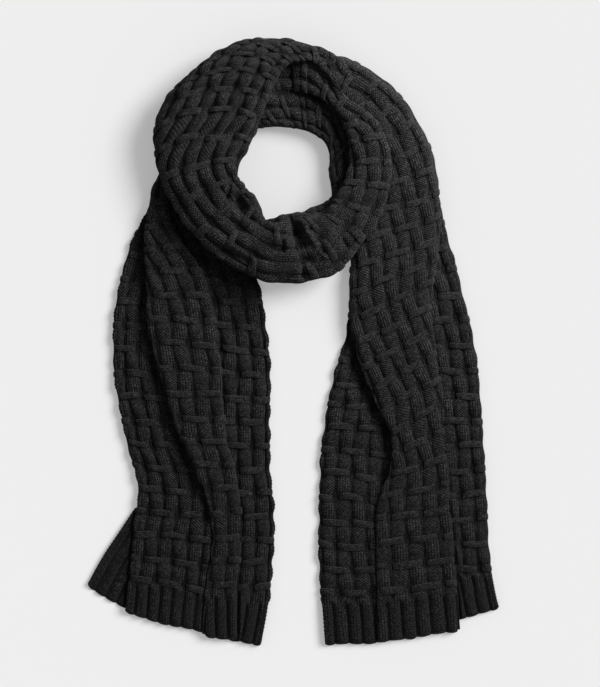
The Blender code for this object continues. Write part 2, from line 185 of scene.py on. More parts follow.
# One row is one section across a stretch: the visible outline's two points, the height of the crests,
# and the height of the underside of its folded edge on each side.
Section = namedtuple("Section", "left_x left_y right_x right_y rise left_under right_under")
NECK_HEIGHTS = (22, FLOOR_GAP, FLOOR_GAP)  # of the band round the back of the neck
PLEAT_HEIGHTS = (21, 11.5, 11.5)  # of the tails' raised layers
LAYER_HEIGHTS = (10.5, FLOOR_GAP, FLOOR_GAP)  # of their lower layers
CORNER_HEIGHTS = (6.5, FLOOR_GAP, FLOOR_GAP)  # of the corner beneath them
LOOP = rows_of(
    Section,
    (-2, 347, 2, 301, 28.5, 23.5, 23),
    (15, 347, 15, 299, 33, 29, 24),
    (42, 331, 34, 292, 36, 32, 25),
    (63, 299, 50, 277, 38.5, 33, 25),
    (86, 281, 59, 263, 41, 32, 25),
    (105, 262, 65, 246, 43, 31, 25),
    (117, 232, 68, 226, 44, 31, 25),
    (119, 198, 64, 203, 44, 31, 25),
    (113, 168, 52, 180, 44, 31, 25),
    (98, 136, 41, 163, 44, 30, 25),
    (77, 109, 30, 157, 44, 28, 25),
    (55, 84, 13, 157, 46, 28, 25),
    (23, 73, -5, 156, 48, 26, 25),
    (-9, 70, -21, 151, 48, 25, 25),
    (-41, 75, -32, 149, 47, 25, 25),
    (-68, 88, -37, 162, 46, 25, 25),
    (-93, 104, -43, 175, 46, 25, 25),
    (-119, 128, -55, 187, 48, 25, 25),
    (-140, 157, -64, 199, 48, 24, 25),
    (-157, 190, -62, 215, 48, 24, 25),
    (-166, 226, -49, 239, 48, 24, 25),
    (-166, 262, -37, 269, 50, 24, 26),
    (-152, 294, -25, 298, 52, 24, 30),
    (-126, 321, -15, 319, 53, 24, 35),
    (-95, 346, -7, 329, 51, 24, 36.5),
    (-63, 362, 3, 334, 48, 24, 35),
    (-29, 366, 13, 336, 45, 24, 34.5),
    (3, 363, 22, 335, 43, 26, 34.5),
    (28, 357, 29, 329, 41, 32, 35),
    (45, 350, 40, 320, 39.5, 33, 36),
    (60, 340, 48, 309, 39, 33, 36.5),
    (72, 326, 57, 299, 39.5, 34, 37),
)
NECK_UNDER = layer(
    NECK_HEIGHTS,
    (20, 84, -2, 140),
    (-9, 81, -21, 137),
    (-38, 86, -36, 136),
    (-62, 100, -44, 146),
    (-84, 119, -56, 160),
    (-106, 143, -70, 174),
    (-126, 170, -78, 190),
    (-145, 202, -82, 206),
    (-148, 232, -76, 226),
    (-142, 263, -66, 244),
    (-126, 292, -52, 253),
    (-102, 316, -37, 258),
    (-66, 337, -16, 259),
    (-26, 346, 5, 257),
    (2, 338, 16, 254),
    (20, 314, 24, 251),
    (44, 296, 38, 241),
    (66, 272, 44, 224),
    (80, 247, 43, 206),
    (84, 220, 45, 190),
    (78, 186, 46, 177),
    (66, 152, 38, 170),
    (48, 118, 20, 163),
    (24, 88, 4, 152, 21),
)
TAIL_LEFT = layer(
    PLEAT_HEIGHTS,
    (-157, 214, -145, 212, 20, 0.5),
    (-170, 184, -144, 184, 21, 1),
    (-176, 157, -146, 157),
    (-178, 134, -137, 134),
    (-178, 110, -121, 110),
    (-177, 86, -107, 86),
    (-176, 60, -97, 60),
    (-175, 30, -92, 30),
    (-170, -2, -88, -2),
    (-162, -30, -84, -30),
    (-154, -60, -82, -60),
    (-144, -92, -80, -92),
    (-133, -120, -76, -120),
    (-120, -150, -68, -150),
    (-106, -182, -62, -182, 19),
    (-98, -215, -60, -215, 16, 10.5, 10),
    (-98, -250, -61, -250, 14.5, 10.5, 8.5),
    (-104, -285, -64, -285, 14, 10.5, 7.5),
    (-108, -320, -65, -320, 13.5, 10, 6.5),
    (-110, -354, -65, -358, 13, 9, 5.5),
)
TAIL_LEFT_INNER = layer(
    LAYER_HEIGHTS,
    (-156, 182, -92, 182),
    (-146, 137, -64, 137),
    (-132, 110, -51, 110),
    (-128, 80, -42, 80),
    (-124, 40, -34, 40),
    (-122, 0, -29, 0),
    (-118, -40, -26, -40),
    (-112, -80, -27, -80),
    (-104, -120, -27, -120),
    (-92, -160, -26, -160),
    (-79, -200, -22, -200),
    (-77, -240, -22, -240),
    (-79, -280, -25, -280),
    (-83, -320, -29, -320),
    (-85, -357, -37, -365, 10),
)
TAIL_LEFT_OUTER = layer(
    LAYER_HEIGHTS,
    (-169, 177, -154, 173),
    (-178, 157, -158, 152),
    (-196, 120, -154, 116),
    (-206, 85, -144, 80),
    (-214, 50, -137, 46),
    (-217, 15, -132, 12),
    (-217, -20, -127, -22),
    (-214, -55, -121, -57),
    (-207, -90, -114, -92),
    (-200, -125, -104, -129),
    (-190, -158, -92, -165, 10.5, 1.5),
    (-188, -190, -82, -199, 11, 3),
    (-193, -220, -81, -233, 11, 3),
    (-195, -252, -84, -269, 11, 3),
    (-199, -286, -86, -309, 11, 3),
    (-203, -325, -86.5, -355, 11, 3),
)
TAIL_LEFT_CORNER = layer(
    CORNER_HEIGHTS,
    (-191, -198, -159, -212),
    (-211, -228, -164, -242),
    (-232, -260, -171, -281),
    (-250, -293, -180, -331),
)
TAIL_RIGHT = layer(
    PLEAT_HEIGHTS,
    (21, 326, 30, 344, 26, 0.5, 0.5),
    (40, 304, 58, 345, 30, 0.5, 0.5),
    (56, 286, 84, 334, 30, 0.5, 0.5),
    (74, 268, 111, 316, 29, 0.5, 0.5),
    (87, 251, 135, 292, 28, 0.5, 0.5),
    (97, 233, 153, 263, 28, 0.5, 0.5),
    (96, 206, 167, 234, 27, 0.5, 0.5),
    (86, 172, 175, 198, 26, 0.5, 1),
    (76, 133, 178, 157, 25, 0.5),
    (69, 92, 177, 114, 24, 0.5),
    (67, 52, 170, 71, 22, 4),
    (70, 12, 169, 30),
    (82, -30, 173, -11),
    (100, -74, 181, -59),
    (118, -113, 183, -104),
    (115, -155, 189, -148, 19),
    (100, -197, 190, -191, 16, 9, 9),
    (99, -242, 195, -239, 14.5, 10.5, 8),
    (100, -296, 199, -292, 14, 10.5, 7),
    (101, -361, 203, -347, 13, 9.5, 3),
)
TAIL_RIGHT_INNER = layer(
    LAYER_HEIGHTS,
    (69, 60, 108, 60),
    (64, 13, 118, 11),
    (55, -20, 125, -23),
    (46, -53, 135, -56),
    (39, -90, 147, -95),
    (34, -131, 148, -136),
    (32, -172, 143, -176),
    (31, -212, 143, -217),
    (31, -254, 145, -259),
    (33, -296, 149, -300),
    (38, -365, 151.5, -356),
)
TAIL_RIGHT_EDGE = layer(
    LAYER_HEIGHTS,
    (150, 182, 173, 186),
    (149, 158, 180, 162),
    (147, 124, 188, 128),
    (144, 82, 199, 88),
    (130, 42, 209, 48),
    (128, 4, 218, 10),
    (136, -44, 225, -38),
    (150, -92, 229, -88),
    (154, -140, 232, -136),
    (152, -188, 235, -185),
    (150, -236, 237, -233),
    (152, -281, 241, -277),
    (153, -341, 250, -321),
)

# Creases of the crossing: a line, the half width of its trough, and its depth, or a ridge below 0.
Crease = namedtuple("Crease", "from_x from_y to_x to_y half_width depth")
CREASES = rows_of(
    Crease,
    (4, 139, 8, 116, 6.5, 11),
    (12, 102, 22, 97, 5, 4),
    (-3, 150, 3, 128, 2.5, 4),
    (-11, 121, -11, 109, 2.0, 5),
    (11, 94, 13, 78, 2.8, 5),
    (24, 157, 36, 163, 6, 12),
    (32, 113, 37, 109, 4, 5),
    (61, 122, 65, 115, 3, 4.5),
    (-66, 173, -60, 162, 6, 12),
    (-75, 187, -78, 174, 3, 5),
    (-46, 174, -40, 160, 8, -4),
    (42, 142, 47, 112, 9, -4),
    (-18, 150, -20, 122, 9, -4),
    (16, 134, 38, 104, 3.5, -5),
    (-81, 112, -52, 97, 4, 6),
)

# Round places where a crumpled stretch lies flatter, so that its ribs nearly vanish and no bar shows.
Calm = namedtuple("Calm", "x y radius")
CALMS = rows_of(
    Calm,
    (-37, 124, 17),
    (-12, 88, 15),
    (42, 136, 15),
    (-45, 166, 12),
    (-3, 146, 12),
    (34, 98, 12),
    (-82, 154, 13),
)

# How the ribs and rows of bars run from one row of a stretch's table to another: how far the middle of a
# row of bars lies ahead of its ends, and its right end ahead of its middle, how far the ribs have run over
# the outline that they are counted from, their pitch against RIB_PITCH and their depth against RIB_DEPTH.
Flow = namedtuple("Flow", "row ahead_middle ahead_right over_edge spread depth")
LOOP_FLOW = rows_of(
    Flow,
    (0, 0, 0, 0, 1, 0.62),
    (9, 0, 0, 0, 1, 0.66),
    (13, 0, 0, 0, 1, 0.85),
    (16.5, 0, 0, 0, 1, 0.90),
    (21, 20, 0, 0, 1, 0.95),
    (24, 20, 0, 0, 1, 0.95),
    (27, 8, 0, 0, 1, 0.80),
    (30, 0, 0, 0, 1, 0.80),
)
PLAIN_FLOW = rows_of(
    Flow,
    (0, 0, 0, 0, 1, 0.78),
    (1, 0, 0, 0, 1, 0.78),
)
TAIL_LEFT_FLOW = rows_of(
    Flow,
    (0, 0, 0, 0, 1, 0.75),
    (4, 0, 0, 0, 1.1, 0.66),
    (12, 0, 0, 0, 1.1, 0.60),
    (19, 0, 0, 0, 1, 0.55),
)
TAIL_RIGHT_FLOW = rows_of(
    Flow,
    (0, 0, 0, -7, 1, 0.58),
    (6, 0, 0, -7, 1, 0.58),
    (7, 0, -2, -6, 1, 0.58),
    (8, 0, -5, 5, 1, 0.60),
    (10, 0, -13, 24, 1, 0.60),
    (13, 0, -14, 60, 1.02, 0.60),
    (15, 0, -9, 70.4, 1.05, 0.62),
    (17, 0, -4, 70.4, 1.15, 0.60),
    (19, 0, 0, 70.4, 1.19, 0.60),
)
TAIL_RIGHT_INNER_FLOW = rows_of(
    Flow,
    (0, 0, 0, 0, 1.03, 0.80),
    (7, 0, 0, 0, 1.05, 0.75),
    (10, 0, 0, 0, 1.15, 0.65),
)

# One piece: its table, the CAD nodes that it stands for, the side its ribs are counted from, how far in
# from that outline the first valley lies (in pitches), the place of the first row of bars, the step to the
# next and its parity, how far an edge rounds in and how far each tucks under, the length of the hem, and
# its flat cut in metres. Then, where it has them: the edges that are knobbly selvages (L or R), whether it
# is hollow, the piece that lies over each hidden edge, its own flow, and the row of its table from which
# ribs run over the outline as the stretch narrows.
Stretch = namedtuple(
    "Stretch",
    "name table nodes count_from phase first_bar bar_pitch parity round_in tuck_left tuck_right hem flat"
    " selvages hollow over_left over_right flow narrows_from",
    defaults=("", False, "", "", PLAIN_FLOW, None))

HEM = 50.0
ROUND_STARTS = ("tail_left", "tail_right")  # their starts show from the back
STRETCHES = (
    Stretch("loop", LOOP, ("loop_left", "loop_front", "loop_right"), "left", -0.2, 14, BAR_PITCH, 0,
            28, 26, 16, 0, (0.12, 0.73), hollow=True, flow=LOOP_FLOW, narrows_from=18.5),
    Stretch("neck_under", NECK_UNDER, ("neck_under",), "right", 0.0, 14, BAR_PITCH, 0,
            12, 14, 14, 0, (0.075, 0.565)),
    Stretch("tail_left", TAIL_LEFT, ("tail_left",), "right", 0.0, 12.6, 29.6, 1,
            9, 14, 10, HEM, (0.06, 0.58), flow=TAIL_LEFT_FLOW),
    Stretch("tail_left_inner", TAIL_LEFT_INNER, ("tail_left_inner",), "right", 0.43, 27.3, 28.7, 1,
            6, 6, 6, HEM, (0.075, 0.53), selvages="R", over_left="tail_left"),
    Stretch("tail_left_outer", TAIL_LEFT_OUTER, ("tail_left_outer",), "left", 0.0, 13, 28.8, 0,
            6, 6, 6, HEM - 4, (0.085, 0.53), selvages="L", over_right="tail_left"),
    Stretch("tail_left_corner", TAIL_LEFT_CORNER, ("tail_left_corner",), "left", 0.1, 60, BAR_PITCH, 0,
            4, 5, 5, 120, (0.055, 0.115), selvages="L", over_right="tail_left_outer"),
    Stretch("tail_right", TAIL_RIGHT, ("tail_right",), "right", -0.1, 16.1, 28.95, 0,
            13, 12, 12, HEM, (0.095, 0.74), flow=TAIL_RIGHT_FLOW),
    Stretch("tail_right_inner", TAIL_RIGHT_INNER, ("tail_right_inner",), "left", 0.26, 24.8, 28.0, 1,
            6, 6, 6, HEM, (0.10, 0.41), selvages="L", over_right="tail_right", flow=TAIL_RIGHT_INNER_FLOW),
    Stretch("tail_right_edge", TAIL_RIGHT_EDGE, ("tail_right_edge",), "right", 0.1, 9.5, 30.0, 0,
            6, 6, 6, HEM, (0.085, 0.50), selvages="R", over_left="tail_right"),
)


def smoothstep(value):
    """0 below 0, 1 above 1, and smooth in between."""
    value = np.clip(value, 0.0, 1.0)
    return value * value * (3 - 2 * value)


def unit(vectors):
    """Vectors brought to a length of 1."""
    return vectors / np.maximum(np.linalg.norm(vectors, axis=-1, keepdims=True), 1e-9)


def ripple(x, y, waves):
    """Height of some slow waves together."""
    return sum(wave.height * np.sin(x / wave.run_x + y / wave.run_y + wave.start) for wave in waves)


def ease(places, rows, values):
    """Values given at some rows of a table, at places between them, without a kink."""
    linear = np.interp(places, rows, values)
    reach = max(1, len(places) // 40)
    kernel = np.hanning(2 * reach + 3)[1:-1]
    padded = np.pad(linear, reach, mode="edge")
    return np.convolve(padded, kernel / kernel.sum(), mode="valid")


def smooth_rows(table, places):
    """Rows of a table at places between its rows, on smooth curves through them (Catmull-Rom)."""
    rows = np.array(table, float)
    last = len(rows) - 1
    index = np.clip(places.astype(int), 0, last - 1)
    share = (places - index)[:, None]
    before, start, end, after = (rows[np.clip(index + step, 0, last)] for step in (-1, 0, 1, 2))
    return 0.5 * (2 * start + (end - before) * share
                  + (2 * before - 5 * start + 4 * end - after) * share ** 2
                  + (3 * start - before - 3 * end + after) * share ** 3)


def sections_along(table, hem):
    """Lengths along a stretch's centreline, and its sections there; a hem's end has extra ones."""
    places = np.linspace(0, len(table) - 1, (len(table) - 1) * ROW_PLACES + 1)
    rows = smooth_rows(table, places)
    centre = (rows[:, 0:2] + rows[:, 2:4]) / 2
    lengths = np.concatenate(([0.0], np.cumsum(np.hypot(*np.diff(centre, axis=0).T))))
    total = lengths[-1]
    end = total - HEM_ROUND if hem else total
    wanted = np.linspace(0, end, max(2, round(end / STEP_ALONG)) + 1)
    if hem:
        turn = np.linspace(0, math.pi / 2, HEM_TURNS + 1)[1:]
        wanted = np.concatenate((wanted, end + HEM_ROUND * np.sin(turn)))
    places = np.interp(wanted, lengths, places)
    return wanted, places, smooth_rows(table, places)


def folded_edge(rise, under, reach, tuck):
    """Distances in and heights of one folded edge, from its tucked end out, up and over; a row each."""
    height = rise - under
    middle = under + EDGE_WIDEST * height
    low = np.minimum(EDGE_BELOW * tuck, BELOW_MOST * height)
    turn = np.linspace(0, math.pi / 2, TURNS + 1)
    low_in = low[:, None] * (1 - np.sin(turn))
    low_up = middle[:, None] - (middle - under)[:, None] * np.cos(turn)
    top_in = reach[:, None] * (1 - np.cos(turn[1:]))
    top_up = middle[:, None] + (rise - middle)[:, None] * np.sin(turn[1:])
    return (np.hstack((tuck[:, None], low_in, top_in)), np.hstack((under[:, None], low_up, top_up)))


class Cloth:
    """The smooth form of one stretch, as a grid: a row for each section, from its left to its right."""

    def __init__(self, stretch):
        self.stretch = stretch
        self.lengths, places, rows = sections_along(stretch.table, stretch.hem)
        left, right = rows[:, 0:2], rows[:, 2:4]
        width = np.hypot(*(right - left).T)
        self.rise, left_under, right_under = rows[:, 4], rows[:, 5], rows[:, 6]
        self.under = np.minimum(left_under, right_under)
        reach = np.minimum(stretch.round_in, REACH_MOST * width)
        (left_in, left_up), (right_in, right_up) = (
            folded_edge(self.rise, under, reach, np.minimum(tuck, TUCK_MOST * width))
            for under, tuck in ((left_under, stretch.tuck_left), (right_under, stretch.tuck_right)))
        outline = np.hstack((left_in, width[:, None] - right_in[:, ::-1]))
        heights = np.hstack((left_up, right_up[:, ::-1]))
        inward, height = self.divide(outline, heights)
        across = (right - left) / width[:, None]
        plan = left[:, None, :] + across[:, None, :] * inward[:, :, None]
        self.points = np.dstack((plan, height))
        rows_at, *flows = zip(*stretch.flow)
        smooth = [ease(places, rows_at, values) for values in flows]
        self.bow, self.lean, self.drift, self.spread, self.depth = smooth
        if stretch.narrows_from is not None:
            shown = self.arc_right - self.arc_left
            started = smoothstep((places - stretch.narrows_from) / DRIFT_EASE)
            self.drift = self.drift + (np.interp(stretch.narrows_from, places, shown) - shown) * started
        self.normals = self.outward()

    def divide(self, outline, heights):
        """Spreads the grid's columns over the outline: coarse where it is tucked away, fine above."""
        steps = np.hypot(np.diff(outline, axis=1), np.diff(heights, axis=1))
        arcs = np.hstack((np.zeros((len(steps), 1)), np.cumsum(steps, axis=1)))
        total = arcs[:, -1]
        self.arc_left = arcs[:, TURNS + 1]
        self.arc_right = arcs[:, -TURNS - 2]
        fine_from = np.maximum(self.arc_left - FRINGE, HIDDEN_LEAST * self.arc_left)
        fine_to = np.minimum(self.arc_right + FRINGE, total - HIDDEN_LEAST * (total - self.arc_right))
        before, after = (max(1, round(float(part.max()) / STEP_HIDDEN))
                         for part in (fine_from, total - fine_to))
        fine = round(float((fine_to - fine_from).max()) / STEP_ACROSS)
        share = np.concatenate((np.arange(before) / before,
                                1 + np.arange(fine) / fine,
                                2 + np.arange(after + 1) / after))
        self.arcs = np.array([np.interp(share, (0, 1, 2, 3), (0, start, end, whole))
                              for start, end, whole in zip(fine_from, fine_to, total)])
        self.from_left = self.arcs - self.arc_left[:, None]
        self.from_right = self.arc_right[:, None] - self.arcs
        return (np.array([np.interp(wanted, arc, row) for wanted, arc, row in zip(self.arcs, arcs, values)])
                for values in (outline, heights))

    def outward(self):
        """Outward directions at the grid's points."""
        normals = unit(np.cross(np.gradient(self.points, axis=1), np.gradient(self.points, axis=0)))
        middle = normals.shape[1] // 2
        self.flipped = normals[:, middle, 2].mean() < 0
        return -normals if self.flipped else normals

    def row_at(self, along):
        """Place in the grid's rows of a length along the stretch."""
        return np.interp(along, self.lengths, np.arange(len(self.lengths)))

    def distance_in(self):
        """Distance round the form from the widest line on the side that the ribs are counted from."""
        inward = self.from_left if self.stretch.count_from == "left" else self.from_right
        return inward / self.spread[:, None] + self.drift[:, None]

    def ahead(self, arcs=None, row=slice(None)):
        """How far the rows of stitches lie ahead of the grid's rows."""
        arcs = self.arcs if arcs is None else arcs
        left, right, bow, lean, along = (
            np.atleast_1d(part[row])[:, None]
            for part in (self.arc_left, self.arc_right, self.bow, self.lean, self.lengths))
        side = np.clip(2 * (arcs - left) / (right - left) - 1, -SIDE_MOST, SIDE_MOST)
        return bow * (1 - side ** 2) + lean * side + ripple(arcs - left, along, ROW_WANDERS)

    def showing(self):
        """1 on top, falling to 0 on what is tucked under a folded edge."""
        return smoothstep(self.from_left / FRINGE + 1) * smoothstep(self.from_right / FRINGE + 1)


def rounded(place, share):
    """Round back of a rib over place, from -1 at one valley to 1 at the next."""
    inside = np.clip(np.abs(place) / share, 0.0, 1.0)
    return (1 - inside ** RIB_FLAT) ** RIB_STEEP


def rib_place(ribs):
    """Place across a rib, from -1 at one valley to 1 at the next, where ribs counts pitches."""
    return 2 * (ribs - np.floor(ribs) - 0.5)


def rib_relief(ribs, along, stretch, hem_start):
    """Height of the ribbing against the crests, where ribs counts pitches from the first valley."""
    rows = (along - stretch.first_bar) / stretch.bar_pitch
    row = np.round(rows)
    away = np.abs(rows - row) * stretch.bar_pitch
    cinch = np.exp(-(away / CINCH_LENGTH) ** 2)
    if stretch.hem:
        last_row = math.floor((hem_start - stretch.first_bar) / stretch.bar_pitch)
        cinch = np.where(row <= last_row, cinch, 0.0)
    first_of_pair = (np.floor(ribs) + row + stretch.parity) % 2 < 0.5
    pull = np.where(first_of_pair, PAIR_PULL, -PAIR_PULL) * cinch
    back = rounded(rib_place(ribs) - 2 * pull, RIB_ROUND - RIB_SQUEEZE * cinch)
    lump = 1 + RIB_LUMP * np.sin(2.4 * np.floor(ribs) + 1.9 * np.floor(rows))   # no two alike
    valley = RIB_DEPTH * (1 - VALLEY_RISE * (1 - np.exp(-(away / VALLEY_REACH) ** 2)))
    return -valley + (valley + RIB_BULGE * lump * (1 - cinch) - RIB_CINCH * cinch) * back


def calm_share(x, y):
    """1 in the middle of a place where the ribs nearly vanish, 0 outside them all."""
    share = np.zeros_like(np.asarray(x, float))
    for calm in CALMS:
        share = np.maximum(share, np.exp(-(np.hypot(x - calm.x, y - calm.y) / calm.radius) ** 4))
    return share


def total_relief(cloth):
    """Height of the knitting's relief over the whole grid of a stretch."""
    stretch = cloth.stretch
    along = cloth.lengths[:, None] - cloth.ahead()
    distance = cloth.distance_in()
    sway = SWAY * ripple(distance, along, RIB_SWAYS)
    ribs = (distance + sway) / RIB_PITCH - stretch.phase
    hem_start = cloth.lengths[-1] - stretch.hem
    relief = rib_relief(ribs, along, stretch, hem_start) * cloth.depth[:, None]
    if stretch.hem:
        hem_ribs = (distance + sway * HEM_SWAY) / HEM_PITCH
        plain = HEM_DEPTH * (rounded(rib_place(hem_ribs), HEM_RIB_ROUND) - 1)
        share = smoothstep((along - hem_start + HEM_AHEAD) / HEM_BLEND)
        relief = relief * (1 - share) + plain * share
    if stretch.hollow:
        calm = calm_share(cloth.points[..., 0], cloth.points[..., 1])
        relief = relief * (1 - CALM_FLAT * calm) - CALM_DEPTH * calm
    return relief * cloth.showing() * edge_share(cloth)


def edge_share(cloth):
    """Ribs are shallower on a tightly folded edge."""
    tight = np.clip(TIGHT_SHARE * (cloth.rise - cloth.under), TIGHT_LEAST, 1.0)[:, None]
    near = [np.exp(-(inward / TIGHT_REACH) ** 2) for inward in (cloth.from_left, cloth.from_right)]
    return 1 - (1 - tight) * np.maximum(*near)


def selvage_relief(cloth):
    """Chain of knots along the edges that are the cloth's own."""
    relief = np.zeros_like(cloth.arcs)
    knots = 0.5 + 0.5 * np.cos(2 * math.pi * cloth.lengths / SELVAGE_KNOT)[:, None]
    for side, inward in (("L", cloth.from_left), ("R", cloth.from_right)):
        if side in cloth.stretch.selvages:
            rim = np.exp(-((inward - SELVAGE_IN) / SELVAGE_WIDTH) ** 2)
            groove = np.exp(-((inward - GROOVE_IN) / GROOVE_WIDTH) ** 2)
            chain = SELVAGE_RISE * (knots ** KNOT_ROUND - KNOT_MIDDLE) + SELVAGE_BASE
            relief += rim * chain - GROOVE_DEPTH * groove
    return relief


def crease_depth(x, y):
    """How far the creases press the top down."""
    depth = np.zeros_like(x)
    for crease in CREASES:
        run_x, run_y = crease.to_x - crease.from_x, crease.to_y - crease.from_y
        share = ((x - crease.from_x) * run_x + (y - crease.from_y) * run_y) / (run_x ** 2 + run_y ** 2)
        share = np.clip(share, 0, 1)
        away = np.hypot(x - crease.from_x - share * run_x, y - crease.from_y - share * run_y)
        depth += crease.depth * np.exp(-(away / crease.half_width) ** 2)
    return depth


def undulation(x, y):
    """Slow unevenness of laid knitting, with lumps of about two ribs."""
    return ripple(x, y, UNEVEN) + 0.4 * np.sin(x / 9.0 + 1.1) * np.sin(y / 12.5)


def press(points, cloth_rise):
    """Lets creases and unevenness into points high enough on their stretch."""
    x, y, z = points[..., 0], points[..., 1], points[..., 2]
    top = smoothstep((z - TOP_FROM * cloth_rise) / (TOP_FADE * cloth_rise))
    high = smoothstep((z - CREASE_FROM) / CREASE_FADE)
    uneven = undulation(x, y) * top * np.clip(cloth_rise / UNEVEN_HEIGHT, *UNEVEN_RANGE)
    return np.dstack((x, y, z - crease_depth(x, y) * high + uneven))


def cover_line(above, side):
    """Outline of the piece that lies over a hidden edge, with the height of its underside, by y."""
    rows = smooth_rows(above.stretch.table, np.linspace(0, len(above.stretch.table) - 1, 200))
    line = rows[:, (2, 3, 6)] if side == "left" else rows[:, (0, 1, 5)]
    return line[np.argsort(line[:, 1])]


def limit_under(points, line, side):
    """Presses points that run in under another piece down below its underside."""
    x, y, z = points[..., 0], points[..., 1], points[..., 2]
    edge = np.interp(y, line[:, 1], line[:, 0])
    cap = np.interp(y, line[:, 1], line[:, 2]) - UNDER_CLEAR
    beyond = edge - x if side == "left" else x - edge
    if side == "right":
        sag = SAG_SHARE * smoothstep(1 + beyond / SAG_REACH) * smoothstep((y - SAG_END) / SAG_FADE)
        z = FLOOR_GAP + (z - FLOOR_GAP) * (1 - sag)
    share = smoothstep((beyond + UNDER_REACH) / (UNDER_REACH + 1.0))
    z = z * (1 - share) + np.minimum(z, cap) * share
    return np.stack((x, y, np.maximum(z, FLOOR_GAP)), axis=-1)


def settle(points, cloth):
    """Keeps a stretch's points on the surface, and clear of what lies over its hidden edges."""
    stretch = cloth.stretch
    for side, cover in (("left", stretch.over_left), ("right", stretch.over_right)):
        if cover:
            points = limit_under(points, cover_line(cloths[cover], side), side)
    points[..., 2] = np.maximum(points[..., 2], FLOOR_GAP)
    return points


def finish_hem(points, cloth):
    """Rounds a hem's end down, and lets it run out on each rib, waver and draw back at its corners."""
    to_end = cloth.lengths[-1] - cloth.lengths
    turn = np.clip(1 - to_end / HEM_ROUND, 0.0, 1.0)
    share = np.sqrt(1 - turn ** 2 * HEM_DROP)[:, None]
    base = np.maximum(cloth.under, FLOOR_GAP)[:, None]
    points[..., 2] = base + (points[..., 2] - base) * share
    run = unit(np.gradient(cloth.points[..., 0:2], axis=0))
    scallop = HEM_SCALLOP * (rounded(rib_place(cloth.distance_in() / HEM_PITCH), SCALLOP_ROUND) - 0.5)
    x, y = cloth.points[..., 0], cloth.points[..., 1]
    wave = HEM_WAVE * np.sin(x / 13.0 + y / 41.0) * np.cos(x / 37.0 + 0.8)      # two slow waves together
    from_side = np.minimum(cloth.from_left, cloth.from_right)
    corner = HEM_CORNER * np.exp(-(np.maximum(from_side, 0.0) / CORNER_WIDTH) ** 2)
    shift = (scallop + wave - corner) * smoothstep(1 - to_end / HEM_LOOSE)[:, None]
    points[..., 0:2] += run * shift[..., None]


def round_ends(heights, cloth):
    """Heights of a stretch, rounded down towards its start, and without a hem towards its end too."""
    to_end = cloth.lengths
    if not cloth.stretch.hem:
        to_end = np.minimum(to_end, cloth.lengths[-1] - cloth.lengths)
    turn = np.clip(1 - to_end / END_ROUND, 0.0, 1.0)
    base = cloth.under[:, None]
    lowered = base + (heights - base) * np.sqrt(1 - END_DROP * turn ** 2)[:, None]
    return np.where(heights > base, lowered, heights)


def worked_points(cloth):
    """The grid of a stretch with its ribs, selvages, creases and hem worked into it."""
    relief = total_relief(cloth) + selvage_relief(cloth)
    points = press(cloth.points + cloth.normals * relief[..., None], cloth.rise[:, None])
    if cloth.stretch.hem:
        finish_hem(points, cloth)
    if cloth.stretch.hollow or cloth.stretch.name in ROUND_STARTS:
        points[..., 2] = round_ends(points[..., 2], cloth)
    return settle(points, cloth), relief


def coarse_steps(count):
    """Every COARSE-th step up to the last one."""
    return list(range(0, count - 1, COARSE)) + [count - 1]


def quads(*corners):
    """Faces of four corners, from four grids of them."""
    return np.stack(corners, axis=-1).reshape(-1, 4).tolist()


def shell_mesh(cloth, points):
    """Vertices and faces of a stretch: its worked outer side, and a plain inner side or a flat bottom."""
    rows, columns = points.shape[:2]
    index = np.arange(rows * columns).reshape(rows, columns)
    faces = quads(index[:-1, :-1], index[:-1, 1:], index[1:, 1:], index[1:, :-1])
    steps_along, steps_across = coarse_steps(rows), coarse_steps(columns)
    vertices = points.reshape(-1, 3)
    if cloth.stretch.hollow:
        most = WALL_MOST * (cloth.rise - cloth.under)[:, None]
        wall = np.minimum(RIB_DEPTH * cloth.showing() + WALL, most)
        inner = press(cloth.points - cloth.normals * wall[..., None], cloth.rise[:, None])
        inner[..., 2] = round_ends(inner[..., 2], cloth)
        inner = inner[np.ix_(steps_along, steps_across)]
        lining = len(vertices) + np.arange(inner.shape[0] * inner.shape[1]).reshape(inner.shape[:2])
        vertices = np.vstack((vertices, inner.reshape(-1, 3)))
        faces += quads(lining[:-1, :-1], lining[1:, :-1], lining[1:, 1:], lining[:-1, 1:])
        for count, (start, end) in enumerate(zip(steps_along, steps_along[1:])):
            faces.append([*index[start:end + 1, 0], lining[count + 1, 0], lining[count, 0]])
            faces.append([*index[start:end + 1, -1][::-1], lining[count, -1], lining[count + 1, -1]])
        for count, (start, end) in enumerate(zip(steps_across, steps_across[1:])):
            faces.append([*index[0, start:end + 1][::-1], lining[0, count], lining[0, count + 1]])
            faces.append([*index[-1, start:end + 1], lining[-1, count + 1], lining[-1, count]])
    else:
        for start, end in zip(steps_along, steps_along[1:]):
            faces.append([*index[start:end + 1, 0], *index[start:end + 1, -1][::-1]])
        faces += [list(index[0, ::-1]), list(index[-1])]
    faces = [[int(corner) for corner in face] for face in faces]
    return vertices * MM, [face[::-1] for face in faces] if cloth.flipped else faces


def add_object(name, data):
    """A new object in the scene."""
    made = bpy.data.objects.new(name, data)
    bpy.context.collection.objects.link(made)
    return made


